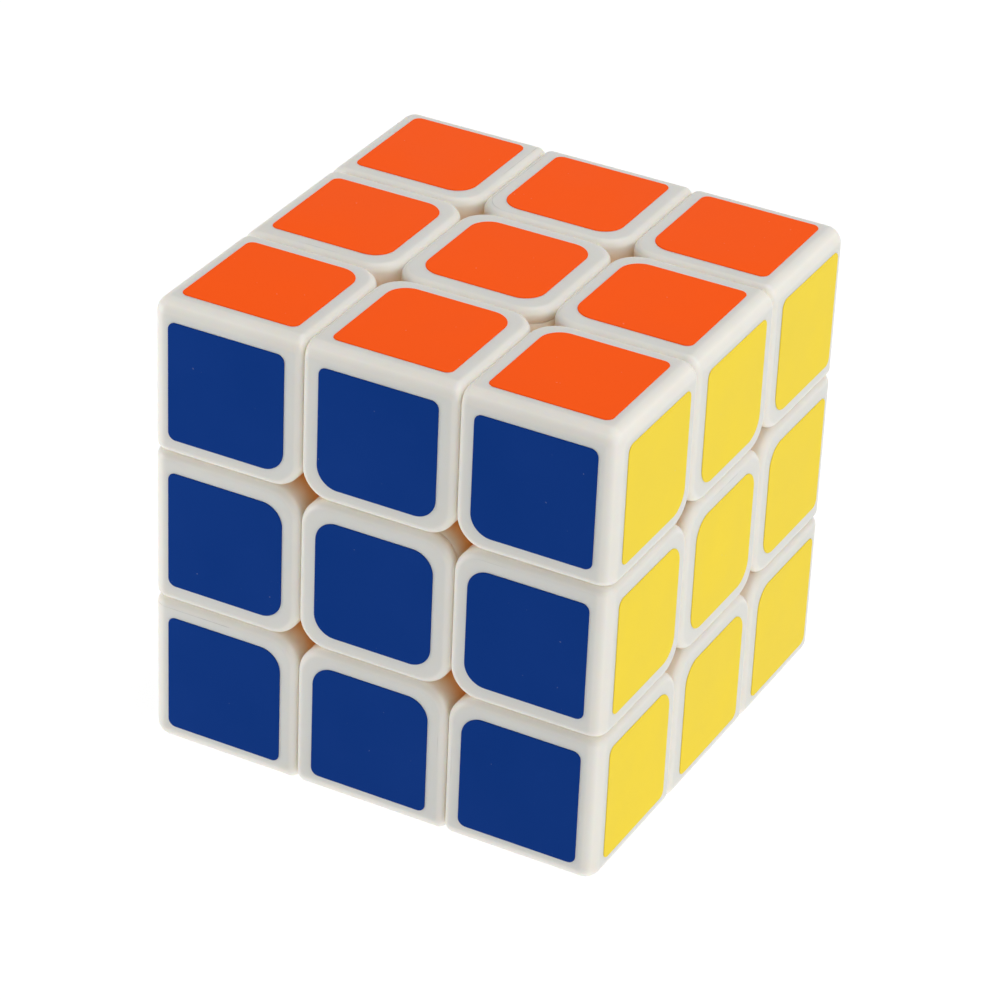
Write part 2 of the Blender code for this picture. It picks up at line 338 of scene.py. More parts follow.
def ring(radii, height):
    """One closed ring: the radius at each angle round the axis, at one height or several."""
    return np.column_stack((radii * np.cos(around), radii * np.sin(around), height + 0 * radii))


def cross_outline(reach, half_width):
    """Polar radius of a four-armed cross.

    It rises from the half width to the reach of the arms as the cube of |cos| of twice the angle.
    """
    sharpness = np.abs(np.cos(2 * around)) ** 3
    return half_width + (reach - half_width) * sharpness


def steel():
    """Bright plated steel, lightly mottled."""
    kit = Finish("steel")
    grain = kit.use(moulded_grain, Grain_Scale=STEEL_GRAIN)
    colour = kit.mixed(grain["Mottle"], rgba(shade(STEEL_COLOUR, 0.85)), rgba(STEEL_COLOUR))
    kit.feed(kit.shader.inputs["Base Color"], colour)
    kit.shader.inputs["Metallic"].default_value = 1.0
    kit.feed(kit.shader.inputs["Roughness"], kit.band(grain["Grain"], 0.3, 0.7, 0.22, 0.36))
    return kit.material


def screw_surface():
    """The screw's skin, from the foot of the recess over the head and down the thread.

    Rings run up the recess from a small cross to a wide one, out over the head, down its side,
    and along a shank whose radius rises and falls once in each thread pitch.
    """
    low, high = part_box("top_screw")
    low_z, top = low.z - HALF, high.z - HALF
    head = (high.x - low.x) / 2
    _, washer_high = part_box("top_washer")
    under = washer_high.z - HALF + HEAD_OVER_WASHER
    rings = [
        ring(cross_outline(RECESS_REACH * 0.5, RECESS_WIDTH * 0.3), top - RECESS_DEPTH),
        ring(cross_outline(RECESS_REACH * 0.75, RECESS_WIDTH * 0.4), top - RECESS_DEPTH * 0.8),
        ring(cross_outline(RECESS_REACH, RECESS_WIDTH * 0.5), top - RECESS_LIP),
        ring(cross_outline(RECESS_REACH + RECESS_FLARE, RECESS_WIDTH * 0.5 + RECESS_LIP), top),
    ]
    flat = np.full(RING_POINTS, 1.0)
    profile = [(head - 2 * HEAD_EDGE, top)]
    for angle in np.linspace(0, pi / 2, 6):
        profile.append((head - HEAD_EDGE + HEAD_EDGE * sin(angle), top - HEAD_EDGE * (1 - cos(angle))))
    profile += [(head, under + UNDER_EDGE), (head - UNDER_EDGE, under)]
    profile += [(SHANK_RADIUS + UNDER_EDGE, under)]
    rings += [ring(flat * radius, height) for radius, height in profile]
    for height in np.arange(under - UNDER_EDGE, low_z + SHANK_TIP, -THREAD_PITCH / 6):
        wave = 0.5 + 0.5 * np.cos(2 * pi * height / THREAD_PITCH - around)
        rings.append(ring(SHANK_RADIUS - THREAD_DEPTH * wave, height))
    rings.append(ring(flat * (SHANK_RADIUS * 0.6), low_z))
    return lofted(np.array(rings))


steel_finish = steel()
screw_points, screw_faces = screw_surface()
for face, turn in FACE_TURNS.items():
    screw = new_piece(f"{face}_tension_screw", screw_points, screw_faces, steel_finish, turn)
    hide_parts(f"{face}_screw")
    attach(screw, "middle_layer")

# ---------------------------------------------------------------------------
# Springs: music wire wound round each screw, closed at both ends. They press
# the centres inwards, and shorten as a centre is pulled out.
# ---------------------------------------------------------------------------
SPRING_TURNS = 5.5
CLOSED_TURNS = 0.75
SPRING_WIRE = 0.27 * MM
WIRE_SIDES = 14
COIL_STEPS = 48


def spring_surface():
    """A tube along a helix whose pitch eases out to nothing over its end turns.

    The wire's middle goes round at one radius. Its height is a smooth step of the angle, so the
    first and last turns lie nearly flat. Each ring of the tube stands across the wire.
    """
    low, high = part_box("top_spring")
    radius = (high.x - low.x) / 2 - SPRING_WIRE
    bottom, top = low.z - HALF + SPRING_WIRE, high.z - HALF - SPRING_WIRE
    share = np.linspace(0, 1, int(SPRING_TURNS * COIL_STEPS) + 1)
    angle = 2 * pi * SPRING_TURNS * share
    ease = CLOSED_TURNS / SPRING_TURNS
    rise = np.clip((share - ease) / (1 - 2 * ease), 0, 1)
    closed = 2 * SPRING_WIRE
    climb = np.minimum(share / ease, 1) + np.maximum((share - 1 + ease) / ease, 0)
    height = bottom + closed * climb / 2 + (top - bottom - closed) * rise
    outward = np.column_stack((np.cos(angle), np.sin(angle), 0 * angle))
    middle = radius * outward + np.column_stack((0 * angle, 0 * angle, height))
    section = np.arange(WIRE_SIDES) * 2 * pi / WIRE_SIDES
    across = outward[:, None, :] * np.cos(section)[None, :, None]
    upright = np.array((0, 0, 1)) * np.sin(section)[None, :, None]
    return lofted(middle[:, None, :] + SPRING_WIRE * (across + upright))


spring_points, spring_faces = spring_surface()
for face, turn in FACE_TURNS.items():
    spring = new_piece(f"{face}_coil_spring", spring_points, spring_faces, steel_finish, turn)
    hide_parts(f"{face}_spring")
    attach(spring, "middle_layer")
    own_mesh(spring)

# ---------------------------------------------------------------------------
# Washers: flat rings stamped from steel, one between each spring and the head
# of its screw. The screw holds them in place.
# ---------------------------------------------------------------------------
WASHER_EDGE = 0.08 * MM
WASHER_HOLE = 1.5 * MM


def washer_surface():
    """A ring turned from a rectangle with its four corners taken off."""
    low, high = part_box("top_washer")
    bottom, top = low.z - HALF, high.z - HALF
    outer, inner, edge = (high.x - low.x) / 2, WASHER_HOLE, WASHER_EDGE
    profile = [
        (inner, bottom + edge), (inner + edge, bottom), (outer - edge, bottom),
        (outer, bottom + edge), (outer, top - edge), (outer - edge, top),
        (inner + edge, top), (inner, top - edge),
    ]
    flat = np.full(RING_POINTS, 1.0)
    return lofted(np.array([ring(flat * radius, height) for radius, height in profile]), through=True)


washer_points, washer_faces = washer_surface()
for face, turn in FACE_TURNS.items():
    washer = new_piece(f"{face}_flat_washer", washer_points, washer_faces, steel_finish, turn)
    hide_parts(f"{face}_washer")
    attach(washer, "middle_layer")

# ---------------------------------------------------------------------------
# Centres: one white moulding on each arm, an open box on a round stem. The
# well in the stem holds the spring, and the box's underside is part of the
# ball that the other cubies' feet turn beneath.
# ---------------------------------------------------------------------------
STICKER_THICKNESS = 0.11 * MM
FLAT = HALF - STICKER_THICKNESS
SEAM = 9.54 * MM
INNER_HALF = 9.46 * MM
BALL_OVER_FEET = 21.25 * MM
WALL = 1.8 * MM
CROSSING_RADIUS = 3.6 * MM
OUTER_RADIUS = 2.0 * MM
RIM_RADIUS = 1.0 * MM
STEM_RADIUS = 4.85 * MM
WELL_RADIUS = 3.4 * MM
SMALL_EDGE = 0.08 * MM
STEM_END = 11.5 * MM
WELL_FLOOR = 13.5 * MM
CENTRE_FLOOR = 23.05 * MM
CENTRE_TOP = 26.62 * MM
BALL_SHARES = np.linspace(0.12, 0.97, 14)

# The plastic's colour at depths in millimetres below the cube's flat sides: the flats have the
# plastic's own colour, and the lighter rims and lighter, warmer seam walls are painted light
PLASTIC_AND_PAINTED_LIGHT_BY_DEPTH = (
    (0.0, (0.75, 0.745, 0.705)),
    (0.08, (0.84, 0.82, 0.765)),
    (0.6, (0.95, 0.91, 0.84)),
    (2.0, (0.94, 0.89, 0.80)),
    (5.0, (0.90, 0.86, 0.78)),
)
DEEPEST = PLASTIC_AND_PAINTED_LIGHT_BY_DEPTH[-1][0]
# Painted light: amber for light that has soaked through the corners round a crossing of two seams and
# comes out there, painted into the colour and the glow
PAINTED_AMBER_LIGHT = (0.95, 0.52, 0.13)
PAINTED_LIP_GLOW = (0.50, 0.42, 0.31)
INSIDE_WHITE = (0.80, 0.77, 0.70)
GRIME = (0.20, 0.17, 0.14)
MOTTLE_SHADES = (0.965, 1.035)
WHITE_GRAIN = 2600.0

# How far from a crossing its mask starts to fade and where it ends, and how far outside the inner
# wall of a centre the mask comes in
CROSSING_FADE = (3.1 * MM, 4.6 * MM)
OUTSIDE_FADE = (0.1 * MM, 0.4 * MM)
INSIDE_FADE = 1.0 * MM
# Depths in millimetres between which the inner white, the painted amber light and the painted glow in
# the lips come in, where that painted glow dies out, and how far from the seam it reaches
INSIDE_DEPTHS = (1.6, 2.2)
AMBER_DEPTHS = (0.8, 6.0)
LIP_DEPTHS = (0.3, 0.9)
LIP_LAST_DEPTHS = (2.0, 4.0)
LIP_WIDTHS = (0.2, 0.8)
# How strongly the plastic's painted glow shines at the lips and in the crossings
PAINTED_PLASTIC_GLOW = 0.055
# The light that soaks into the plastic: its weight, and how far each primary colour goes
SOAKING = 0.5
SOAKING_COLOURS = (1.0, 0.75, 0.5)
SOAKING_REACH = 1.2 * MM
# The grime's line and the widths it frays between, in millimetres, and how strongly it shows
GRIME_LINE = 0.9
GRIME_WIDTHS = (0.02, 0.08)
GRIME_FRAY = 500.0
GRIME_PATCHES = 75.0
GRIME_SHARE = 0.4


def cube_depth_group():
    """Where a point lies on the cube: depth, distance from a seam, and two masks.

    Depth in millimetres is the flat's height less the largest of |x|, |y| and |z| from the cube's
    middle. The other two are compared with the parting planes' distance from the middle. Off Seam
    is how far, in millimetres, the nearer of them is from it, measured to a round where both are
    near, as a cubie's outline is round at a crossing. The inside mask is one where the greater of
    them is less than a centre's inner wall. The crossing mask is one where both are near a plane, and
    nothing on the inner side of a centre's wall.
    """
    measures = ("Depth", "Off Seam", "Inside", "Crossing")
    group, kit, _, given = new_group("cube_depth", {}, dict.fromkeys(measures, "Float"))
    place = kit.tree.nodes.new("ShaderNodeTexCoord").outputs["Object"]
    away = kit.node("ShaderNodeVectorMath", {"operation": "SUBTRACT"}, i0=place, i1=MIDDLE)
    size = kit.node("ShaderNodeVectorMath", {"operation": "ABSOLUTE"}, i0=away.outputs[0])
    x, y, z = kit.node("ShaderNodeSeparateXYZ", Vector=size.outputs[0]).outputs
    wide, narrow = kit.maths("MAXIMUM", x, y), kit.maths("MINIMUM", x, y)
    largest = kit.maths("MAXIMUM", wide, z)
    second = kit.maths("MAXIMUM", narrow, kit.maths("MINIMUM", wide, z))
    kit.feed(given["Depth"], kit.maths("DIVIDE", kit.maths("SUBTRACT", FLAT, largest), MM))
    wall = INNER_HALF - WALL
    kit.feed(given["Inside"], kit.band(second, wall, wall + INSIDE_FADE, 1.0, 0.0))
    third, middle_plane = kit.maths("MINIMUM", narrow, z), (SEAM + INNER_HALF) / 2
    round_by = CROSSING_RADIUS + (SEAM - INNER_HALF) / 2
    offs = [
        kit.maths("ABSOLUTE", kit.maths("SUBTRACT", one, middle_plane)) for one in (second, third)
    ]
    shorts = [kit.maths("MAXIMUM", kit.maths("SUBTRACT", round_by, off), 0.0) for off in offs]
    outline = kit.maths("SUBTRACT", round_by, kit.length(*shorts))
    kit.feed(given["Off Seam"], kit.maths("DIVIDE", outline, MM))
    near_both = kit.band(kit.length(*offs), *CROSSING_FADE, 1.0, 0.0)
    outside = kit.band(second, *(wall + fade for fade in OUTSIDE_FADE))
    kit.feed(given["Crossing"], kit.maths("MULTIPLY", near_both, outside))
    return group


def seam_grime_group():
    """Broken hairlines of grime where neighbouring cubies rub, as a mask.

    A line is a narrow band at one distance from a seam. Two noises break it: a large one picks
    the stretches of seam that have it, and a small one frays it.
    """
    group, kit, taken, given = new_group(
        "seam_grime", {"Off Seam": "Float", "Line Place": "Float"}, {"Mask": "Float"}
    )
    place = kit.tree.nodes.new("ShaderNodeTexCoord").outputs["Object"]
    off = kit.maths("ABSOLUTE", kit.maths("SUBTRACT", taken["Off Seam"], taken["Line Place"]))
    fray = kit.noise(place, GRIME_FRAY, 2.0)
    width = kit.band(fray, 0.35, 0.7, *GRIME_WIDTHS)
    line = kit.maths("SUBTRACT", 1.0, kit.maths("DIVIDE", off, width))
    patches = kit.band(kit.noise(place, GRIME_PATCHES, 1.0), 0.62, 0.70)
    mask = kit.maths("MULTIPLY", kit.maths("MAXIMUM", line, 0.0), patches)
    kit.feed(given["Mask"], mask)
    return group


def ramp(kit, value, stops, reach):
    """A colour read off stops of (place, colour), where places run from nothing to a reach."""
    made = kit.node("ShaderNodeValToRGB", Fac=kit.maths("DIVIDE", value, reach))
    points = made.color_ramp.elements
    while len(points) < len(stops):
        points.new(0.5)
    for point, (spot, colour) in zip(points, stops):
        point.position = spot / reach
        point.color = rgba(colour)
    return made.outputs["Color"]


def white_plastic():
    """Cream white moulded plastic with grime hairlines on rims, and painted light: lighter rims,
    lighter and warmer seam walls, and amber down in the crossings.

    Light soaks into it, and a faint painted glow stands for what comes out at the lips of the seams
    and in the crossings.
    """
    kit = Finish("white_plastic")
    grain = kit.use(moulded_grain, Grain_Scale=WHITE_GRAIN)
    depth = kit.use(cube_depth_group())
    # Painted light: the ramp makes the rims lighter and the seam walls lighter and warmer than the
    # flats
    colour = ramp(kit, depth["Depth"], PLASTIC_AND_PAINTED_LIGHT_BY_DEPTH, DEEPEST)
    deep_inside = kit.maths("MULTIPLY", depth["Inside"], kit.band(depth["Depth"], *INSIDE_DEPTHS))
    colour = kit.mixed(deep_inside, colour, rgba(INSIDE_WHITE))
    # Painted amber light down in the crossings, in the colour here and in the emission below
    painted_amber_share = kit.maths("MULTIPLY", depth["Crossing"], kit.band(depth["Depth"], *AMBER_DEPTHS))
    colour = kit.mixed(painted_amber_share, colour, rgba(PAINTED_AMBER_LIGHT))
    tone = kit.mixed(grain["Mottle"], *(rgba((value,) * 3) for value in MOTTLE_SHADES))
    colour = kit.mixed(1.0, colour, tone, "MULTIPLY")
    grime = kit.use(seam_grime_group(), Off_Seam=depth["Off Seam"], Line_Place=GRIME_LINE)
    colour = kit.mixed(kit.maths("MULTIPLY", grime["Mask"], GRIME_SHARE), colour, rgba(GRIME))
    kit.feed(kit.shader.inputs["Base Color"], colour)
    kit.feed(kit.shader.inputs["Roughness"], kit.band(grain["Mottle"], 0.3, 0.7, 0.36, 0.46))
    # Painted glow in the lips of the seams, and painted amber light in the crossings, as emission
    rising = kit.band(depth["Depth"], *LIP_DEPTHS)
    falling = kit.band(depth["Depth"], *LIP_LAST_DEPTHS, 1.0, 0.0)
    lip = kit.maths("MULTIPLY", rising, falling)
    lip = kit.maths("MULTIPLY", lip, kit.band(depth["Off Seam"], *LIP_WIDTHS, 1.0, 0.0))
    painted_glow = kit.mixed(lip, rgba((0, 0, 0)), rgba(PAINTED_LIP_GLOW))
    kit.feed(kit.shader.inputs["Emission Color"], kit.mixed(painted_amber_share, painted_glow, rgba(PAINTED_AMBER_LIGHT)))
    kit.shader.inputs["Emission Strength"].default_value = PAINTED_PLASTIC_GLOW
    kit.shader.inputs["Subsurface Weight"].default_value = SOAKING
    kit.shader.inputs["Subsurface Radius"].default_value = SOAKING_COLOURS
    kit.shader.inputs["Subsurface Scale"].default_value = SOAKING_REACH
    bumped(kit, grain["Grain"], 0.12, GRAIN_DEPTH)
    return kit.material


def rounded_square(half, corner):
    """Polar radius of a square of a half width, its corners rounded to a radius or radii.

    Each angle is folded into an eighth of a turn. Short of the corner the radius is the half
    width over the angle's cosine. In the corner it runs to an arc about the corner's own middle.
    """
    fold = np.abs((around + pi / 4) % (pi / 2) - pi / 4)
    c, s = np.cos(fold), np.sin(fold)
    flat = half - corner
    arc = flat * (c + s) + np.sqrt(np.maximum(corner**2 - flat**2 * (1 - 2 * c * s), 0))
    return np.where(s * half <= c * flat, half / c, arc)


def on_ball(half, corner):
    """A ring of a rounded square that lies on the ball over the feet."""
    radii = rounded_square(half, corner)
    return ring(radii, np.sqrt(BALL_OVER_FEET**2 - radii**2))


def centre_surface():
    """One skin, carried over rounded squares and circles from the bore and back to it.

    It goes out under the stem, up the stem, over the ball, up the box's sides, over its rim, down
    inside, across the floor, down the well and in to the bore again.
    """
    def level(half, corner, height):
        return ring(rounded_square(half, corner), height)

    bore, stem, edge = WASHER_HOLE, STEM_RADIUS, SMALL_EDGE
    inner, inner_corner = INNER_HALF - WALL, CROSSING_RADIUS - WALL
    stem_top = (BALL_OVER_FEET**2 - stem**2) ** 0.5
    rings = [
        level(bore, bore, STEM_END),
        level(stem - edge, stem - edge, STEM_END),
        level(stem, stem, STEM_END + edge),
        level(stem, stem, stem_top - 2 * edge),
        level(stem + edge, stem + edge, stem_top - edge / 2),
    ]
    for share in BALL_SHARES:
        half = stem + (INNER_HALF - stem) * share
        rings.append(on_ball(half, stem + (CROSSING_RADIUS - stem) * share))
    skirt = on_ball(INNER_HALF, CROSSING_RADIUS)
    skirt[:, 2] += edge
    rings.append(skirt)
    rings += [
        level(INNER_HALF, CROSSING_RADIUS, CENTRE_TOP - edge),
        level(INNER_HALF - edge, CROSSING_RADIUS - edge, CENTRE_TOP),
        level(inner + edge, inner_corner + edge, CENTRE_TOP),
        level(inner, inner_corner, CENTRE_TOP - edge),
        level(inner, inner_corner, CENTRE_FLOOR + edge),
        level(inner - edge, inner_corner - edge, CENTRE_FLOOR),
        level(WELL_RADIUS + edge, WELL_RADIUS + edge, CENTRE_FLOOR),
        level(WELL_RADIUS, WELL_RADIUS, CENTRE_FLOOR - edge),
        level(WELL_RADIUS, WELL_RADIUS, WELL_FLOOR + edge),
        level(WELL_RADIUS - edge, WELL_RADIUS - edge, WELL_FLOOR),
        level(bore, bore, WELL_FLOOR),
    ]
    return lofted(np.array(rings), through=True)


white_finish = white_plastic()
centre_points, centre_faces = centre_surface()
for face, turn in FACE_TURNS.items():
    centre = new_piece(f"{face}_centre_box", centre_points, centre_faces, white_finish, turn)
    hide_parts(f"{face}_centre")
    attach(centre, f"{face}_centre_body")

# ---------------------------------------------------------------------------
# Centre caps: a white plate with a skirt that plugs into each centre's box
# and hides its screw. It lifts off for adjusting the spring.
# ---------------------------------------------------------------------------
CAP_LOW = 26.68 * MM
SKIRT_OUT = 7.25 * MM
SKIRT_IN = 6.35 * MM
SKIRT_LOW = 25.0 * MM
FILLET_STEPS = 10
FACE_INSETS = (6 * MM, 3 * MM, 1.6 * MM)
LEAST_CORNER = 0.5 * MM


def cap_surface():
    """A skin from the middle of the cap's face, over its rounded rim and round its skirt.

    Along the rim a quarter circle sets the height, and the same amount is added to the half width
    and to the corner's radius, so the rounding is even all the way round.
    """
    quarter = np.linspace(0, pi / 2, FILLET_STEPS)
    profile = [(inset, FLAT) for inset in FACE_INSETS]
    profile += [(RIM_RADIUS * (1 - sin(a)), FLAT - RIM_RADIUS * (1 - cos(a))) for a in quarter]
    profile += [(0, CAP_LOW + SMALL_EDGE), (SMALL_EDGE, CAP_LOW)]
    out, into = INNER_HALF - SKIRT_OUT, INNER_HALF - SKIRT_IN
    profile += [(out, CAP_LOW), (out, SKIRT_LOW + SMALL_EDGE), (out + SMALL_EDGE, SKIRT_LOW)]
    profile += [(into - SMALL_EDGE, SKIRT_LOW), (into, SKIRT_LOW + SMALL_EDGE), (into, CAP_LOW)]
    rings = [
        ring(rounded_square(INNER_HALF - inset, max(CROSSING_RADIUS - inset, LEAST_CORNER)), height)
        for inset, height in profile
    ]
    return lofted(np.array(rings))


cap_points, cap_faces = cap_surface()
for face, turn in FACE_TURNS.items():
    cap = new_piece(f"{face}_centre_cap", cap_points, cap_faces, white_finish, turn)
    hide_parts(f"{face}_cap")
    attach(cap, f"{face}_cap_body")

# ---------------------------------------------------------------------------
# Edges: twelve white mouldings with two outer faces. Each hooks under the
# centres' ball with a foot on a short neck.
# ---------------------------------------------------------------------------
EDGE_TURNS = {
    "top_front": (0, 0, 0),
    "top_right": (0, 0, 90),
    "top_back": (0, 0, 180),
    "top_left": (0, 0, 270),
    "bottom_front": (0, 180, 0),
    "bottom_right": (0, 180, 90),
    "bottom_back": (0, 180, 180),
    "bottom_left": (0, 180, 270),
    "front_right": (0, 90, 0),
    "back_right": (0, 90, 90),
    "back_left": (0, 90, 180),
    "front_left": (0, 90, 270),
}
FOOT_LOW = 5.15 * MM
BALL_OF_FEET = 20.85 * MM
BALL_IN_FEET = 14.15 * MM
NECK_REACH = 24.0 * MM
NECK_SIDE = 9.9 * MM
FOOT_ROUND = 0.6 * MM
SHELL_MIDDLE = 19.0 * MM
EDGE_FOOT_MIDDLE = 12.4 * MM
HALVINGS = 36
SLOPE_STEP = 0.005 * MM
# Stretches at the ends of a lattice's lines that are ruled more finely, for the roundings there
CROSSING_ROOM = 4.6 * MM
OUTER_ROOM = 2.6 * MM
FOOT_ROOM = 1.0 * MM
FOOT_TOP = BALL_OF_FEET - 2.0 * MM


def rounded_max(distances, radius):
    """The largest of several signed distances, with a rounding where two or three meet.

    Each is raised by the radius. Where one alone is above nothing it decides, and where more are,
    the length of the vector that they make does, so the level set is an arc of that radius.
    """
    raised = np.array(distances) + radius
    length = np.linalg.norm(np.maximum(raised, 0), axis=0)
    return np.minimum(raised.max(axis=0), 0) + length - radius


def spaced(low, high, low_room, high_room, low_steps, flat_steps, high_steps):
    """Places between two ends, closer together in the room at each end."""
    return np.concatenate((
        np.linspace(low, low + low_room, low_steps, endpoint=False),
        np.linspace(low + low_room, high - high_room, flat_steps, endpoint=False),
        np.linspace(high - high_room, high, high_steps + 1),
    ))


def box_lattice(*lines):
    """The points and faces of a box's surface, ruled along three lists of places.

    Each pair of opposite sides is a grid over two of the lists. Points that sides share are
    merged by their whole-number places on the three lists.
    """
    counts = [len(line) for line in lines]
    spots, faces = [], []
    for axis in range(3):
        one, two = (axis + 1) % 3, (axis + 2) % 3
        a, b = np.meshgrid(np.arange(counts[one]), np.arange(counts[two]), indexing="ij")
        corner = np.arange(a.size).reshape(a.shape)
        quads = np.stack((corner[:-1, :-1], corner[1:, :-1], corner[1:, 1:], corner[:-1, 1:]), -1)
        for end in (0, counts[axis] - 1):
            side = np.empty((a.size, 3), int)
            side[:, axis], side[:, one], side[:, two] = end, a.ravel(), b.ravel()
            turned = quads.reshape(-1, 4)[:, :: 1 if end else -1]
            faces.append(turned + sum(len(spot) for spot in spots))
            spots.append(side)
    unique, merged = np.unique(np.vstack(spots), axis=0, return_inverse=True)
    points = np.column_stack([np.array(line)[unique[:, i]] for i, line in enumerate(lines)])
    return points, merged.ravel()[np.vstack(faces)]


def shrunk_onto(distance, middle, lattice, reach):
    """Draw a lattice in along rays to a middle point, onto the surface where a distance is nil.

    Each ray is halved again and again between the middle and its reach, which is a multiple of
    the way to the lattice. The normals are the distance's slope there, from one small step each
    way along x, y and z.
    """
    points, faces = lattice
    middle = np.array(middle)
    rays = points - middle
    near, far = np.zeros(len(rays)), np.full(len(rays), reach)
    for _ in range(HALVINGS):
        half = (near + far) / 2
        inside = distance(*(middle + rays * half[:, None]).T) < 0
        near, far = np.where(inside, half, near), np.where(inside, far, half)
    found = middle + rays * near[:, None]
    slope = np.column_stack([
        distance(*(found + step).T) - distance(*(found - step).T)
        for step in np.eye(3) * SLOPE_STEP
    ])
    return found, outwards(found, faces.tolist()), slope / np.linalg.norm(slope, axis=1)[:, None]


def edge_shell_distance(x, y, z):
    """Signed distance to an edge's box, which lies in -y and +z.

    It is the rounded largest of two outer planes, four hidden planes and the ball beneath.
    """
    outer = rounded_max((-y - FLAT, z - FLAT), OUTER_RADIUS)
    hidden = rounded_max((np.abs(x) - INNER_HALF, SEAM + y, SEAM - z), CROSSING_RADIUS)
    box = rounded_max((outer, hidden), RIM_RADIUS)
    ball = BALL_OVER_FEET - np.sqrt(x**2 + y**2 + z**2)
    return rounded_max((box, ball), FOOT_ROUND)


def edge_foot_distance(x, y, z):
    """Signed distance to an edge's foot: a slab of a thick ball shell, with a neck on it."""
    reach = np.sqrt(x**2 + y**2 + z**2)
    neck = np.maximum(np.maximum(NECK_SIDE + y, NECK_SIDE - z), reach - NECK_REACH)
    top = np.minimum(reach - BALL_OF_FEET, neck)
    sides = (np.abs(x) - STEM_RADIUS, FOOT_LOW + y, FOOT_LOW - z, BALL_IN_FEET - reach, top)
    return rounded_max(sides, FOOT_ROUND)


across = spaced(-INNER_HALF, INNER_HALF, CROSSING_ROOM, CROSSING_ROOM, 22, 10, 22)
upright = spaced(SEAM, FLAT, CROSSING_ROOM, OUTER_ROOM, 22, 14, 14)
edge_shell = shrunk_onto(
    edge_shell_distance,
    (0, -SHELL_MIDDLE, SHELL_MIDDLE),
    box_lattice(across, -upright, upright),
    reach=1.1,
)
foot_across = spaced(-STEM_RADIUS, STEM_RADIUS, FOOT_ROOM, FOOT_ROOM, 4, 10, 4)
foot_upright = spaced(FOOT_LOW, FOOT_TOP, FOOT_ROOM, FOOT_ROOM, 4, 20, 4)
edge_foot = shrunk_onto(
    edge_foot_distance,
    (0, -EDGE_FOOT_MIDDLE, EDGE_FOOT_MIDDLE),
    box_lattice(foot_across, -foot_upright, foot_upright),
    reach=2.0,
)


def add_cubie(name, turn, layer, shell, foot):
    """An outer cubie: its box, which stands for the frame's node, and the foot it is moulded to."""
    for part, (points, faces, normals) in (("box", shell), ("foot", foot)):
        piece = new_piece(f"{name}_{part}", points, faces, white_finish, turn, normals)
        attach(piece, layer)
        if part == "box":
            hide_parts(name)


def layer_of(place):
    """The body that a piece rides on, from the first word of where it is."""
    first = place.split("_")[0]
    return f"{first}_layer" if first in ("top", "bottom") else "middle_layer"


for place, turn in EDGE_TURNS.items():
    add_cubie(f"{place}_edge", turn, layer_of(place), edge_shell, edge_foot)

# ---------------------------------------------------------------------------
# Corners: eight white mouldings with three outer faces. Each has a three-sided
# foot that hooks under its neighbours.
# ---------------------------------------------------------------------------
CORNER_TURNS = {
    "top_front_right": (0, 0, 0),
    "top_back_right": (0, 0, 90),
    "top_back_left": (0, 0, 180),
    "top_front_left": (0, 0, 270),
    "bottom_front_left": (0, 180, 0),
    "bottom_front_right": (0, 180, 90),
    "bottom_back_right": (0, 180, 180),
    "bottom_back_left": (0, 180, 270),
}
CORNER_FOOT_MIDDLE = 10.1 * MM


def corner_shell_distance(x, y, z):
    """Signed distance to a corner's box, which lies in +x, -y and +z.

    It is the rounded largest of three outer planes and three hidden ones.
    """
    outer = rounded_max((x - FLAT, -y - FLAT, z - FLAT), OUTER_RADIUS)
    hidden = rounded_max((SEAM - x, SEAM + y, SEAM - z), CROSSING_RADIUS)
    return rounded_max((outer, hidden), RIM_RADIUS)


def corner_foot_distance(x, y, z):
    """Signed distance to a corner's foot: an eighth of a thick ball shell, drawn in."""
    reach = np.sqrt(x**2 + y**2 + z**2)
    sides = (FOOT_LOW - x, FOOT_LOW + y, FOOT_LOW - z, BALL_IN_FEET - reach, reach - BALL_OF_FEET)
    return rounded_max(sides, FOOT_ROUND)


corner_shell = shrunk_onto(
    corner_shell_distance,
    (SHELL_MIDDLE, -SHELL_MIDDLE, SHELL_MIDDLE),
    box_lattice(upright, -upright, upright),
    reach=1.1,
)
corner_foot = shrunk_onto(
    corner_foot_distance,
    (CORNER_FOOT_MIDDLE, -CORNER_FOOT_MIDDLE, CORNER_FOOT_MIDDLE),
    box_lattice(foot_upright, -foot_upright, foot_upright),
    reach=2.5,
)
for place, turn in CORNER_TURNS.items():
    add_cubie(f"{place}_corner", turn, layer_of(place), corner_shell, corner_foot)

# ---------------------------------------------------------------------------
# Stickers: 54 squares of thin coloured vinyl, stuck on the flats. Their
# corners are cut rounder where four cubies meet.
# ---------------------------------------------------------------------------
STICKER_HALF = 7.3 * MM
STICKER_PITCH = 18.8 * MM
CROSSING_CORNER = 2.6 * MM
PLAIN_CORNER = 0.95 * MM
STICKER_EDGE = 0.09 * MM
GLUE_LINE = 0.01 * MM
PLATE_INSETS = (0.1 * MM, 0.2 * MM, 0.6 * MM)
SPECK_COLOUR = (0.8, 0.8, 0.78)
CLOUD_SCALE = 95.0
SPECK_SCALE = 1900.0
PEEL_SCALE = 1400.0
# Each face's colour: its name, its value, and the strength of its painted glow
STICKER_COLOURS = {
    "top": ("orange", (0.98, 0.095, 0.001), 0.11),
    "bottom": ("red", (0.55, 0.010, 0.010), 0.0),
    "front": ("blue", (0.0006, 0.039, 0.25), 0.0),
    "back": ("green", (0.003, 0.25, 0.055), 0.0),
    "right": ("yellow", (0.96, 0.725, 0.042), 0.0),
    "left": ("black", (0.012, 0.012, 0.013), 0.0),
}


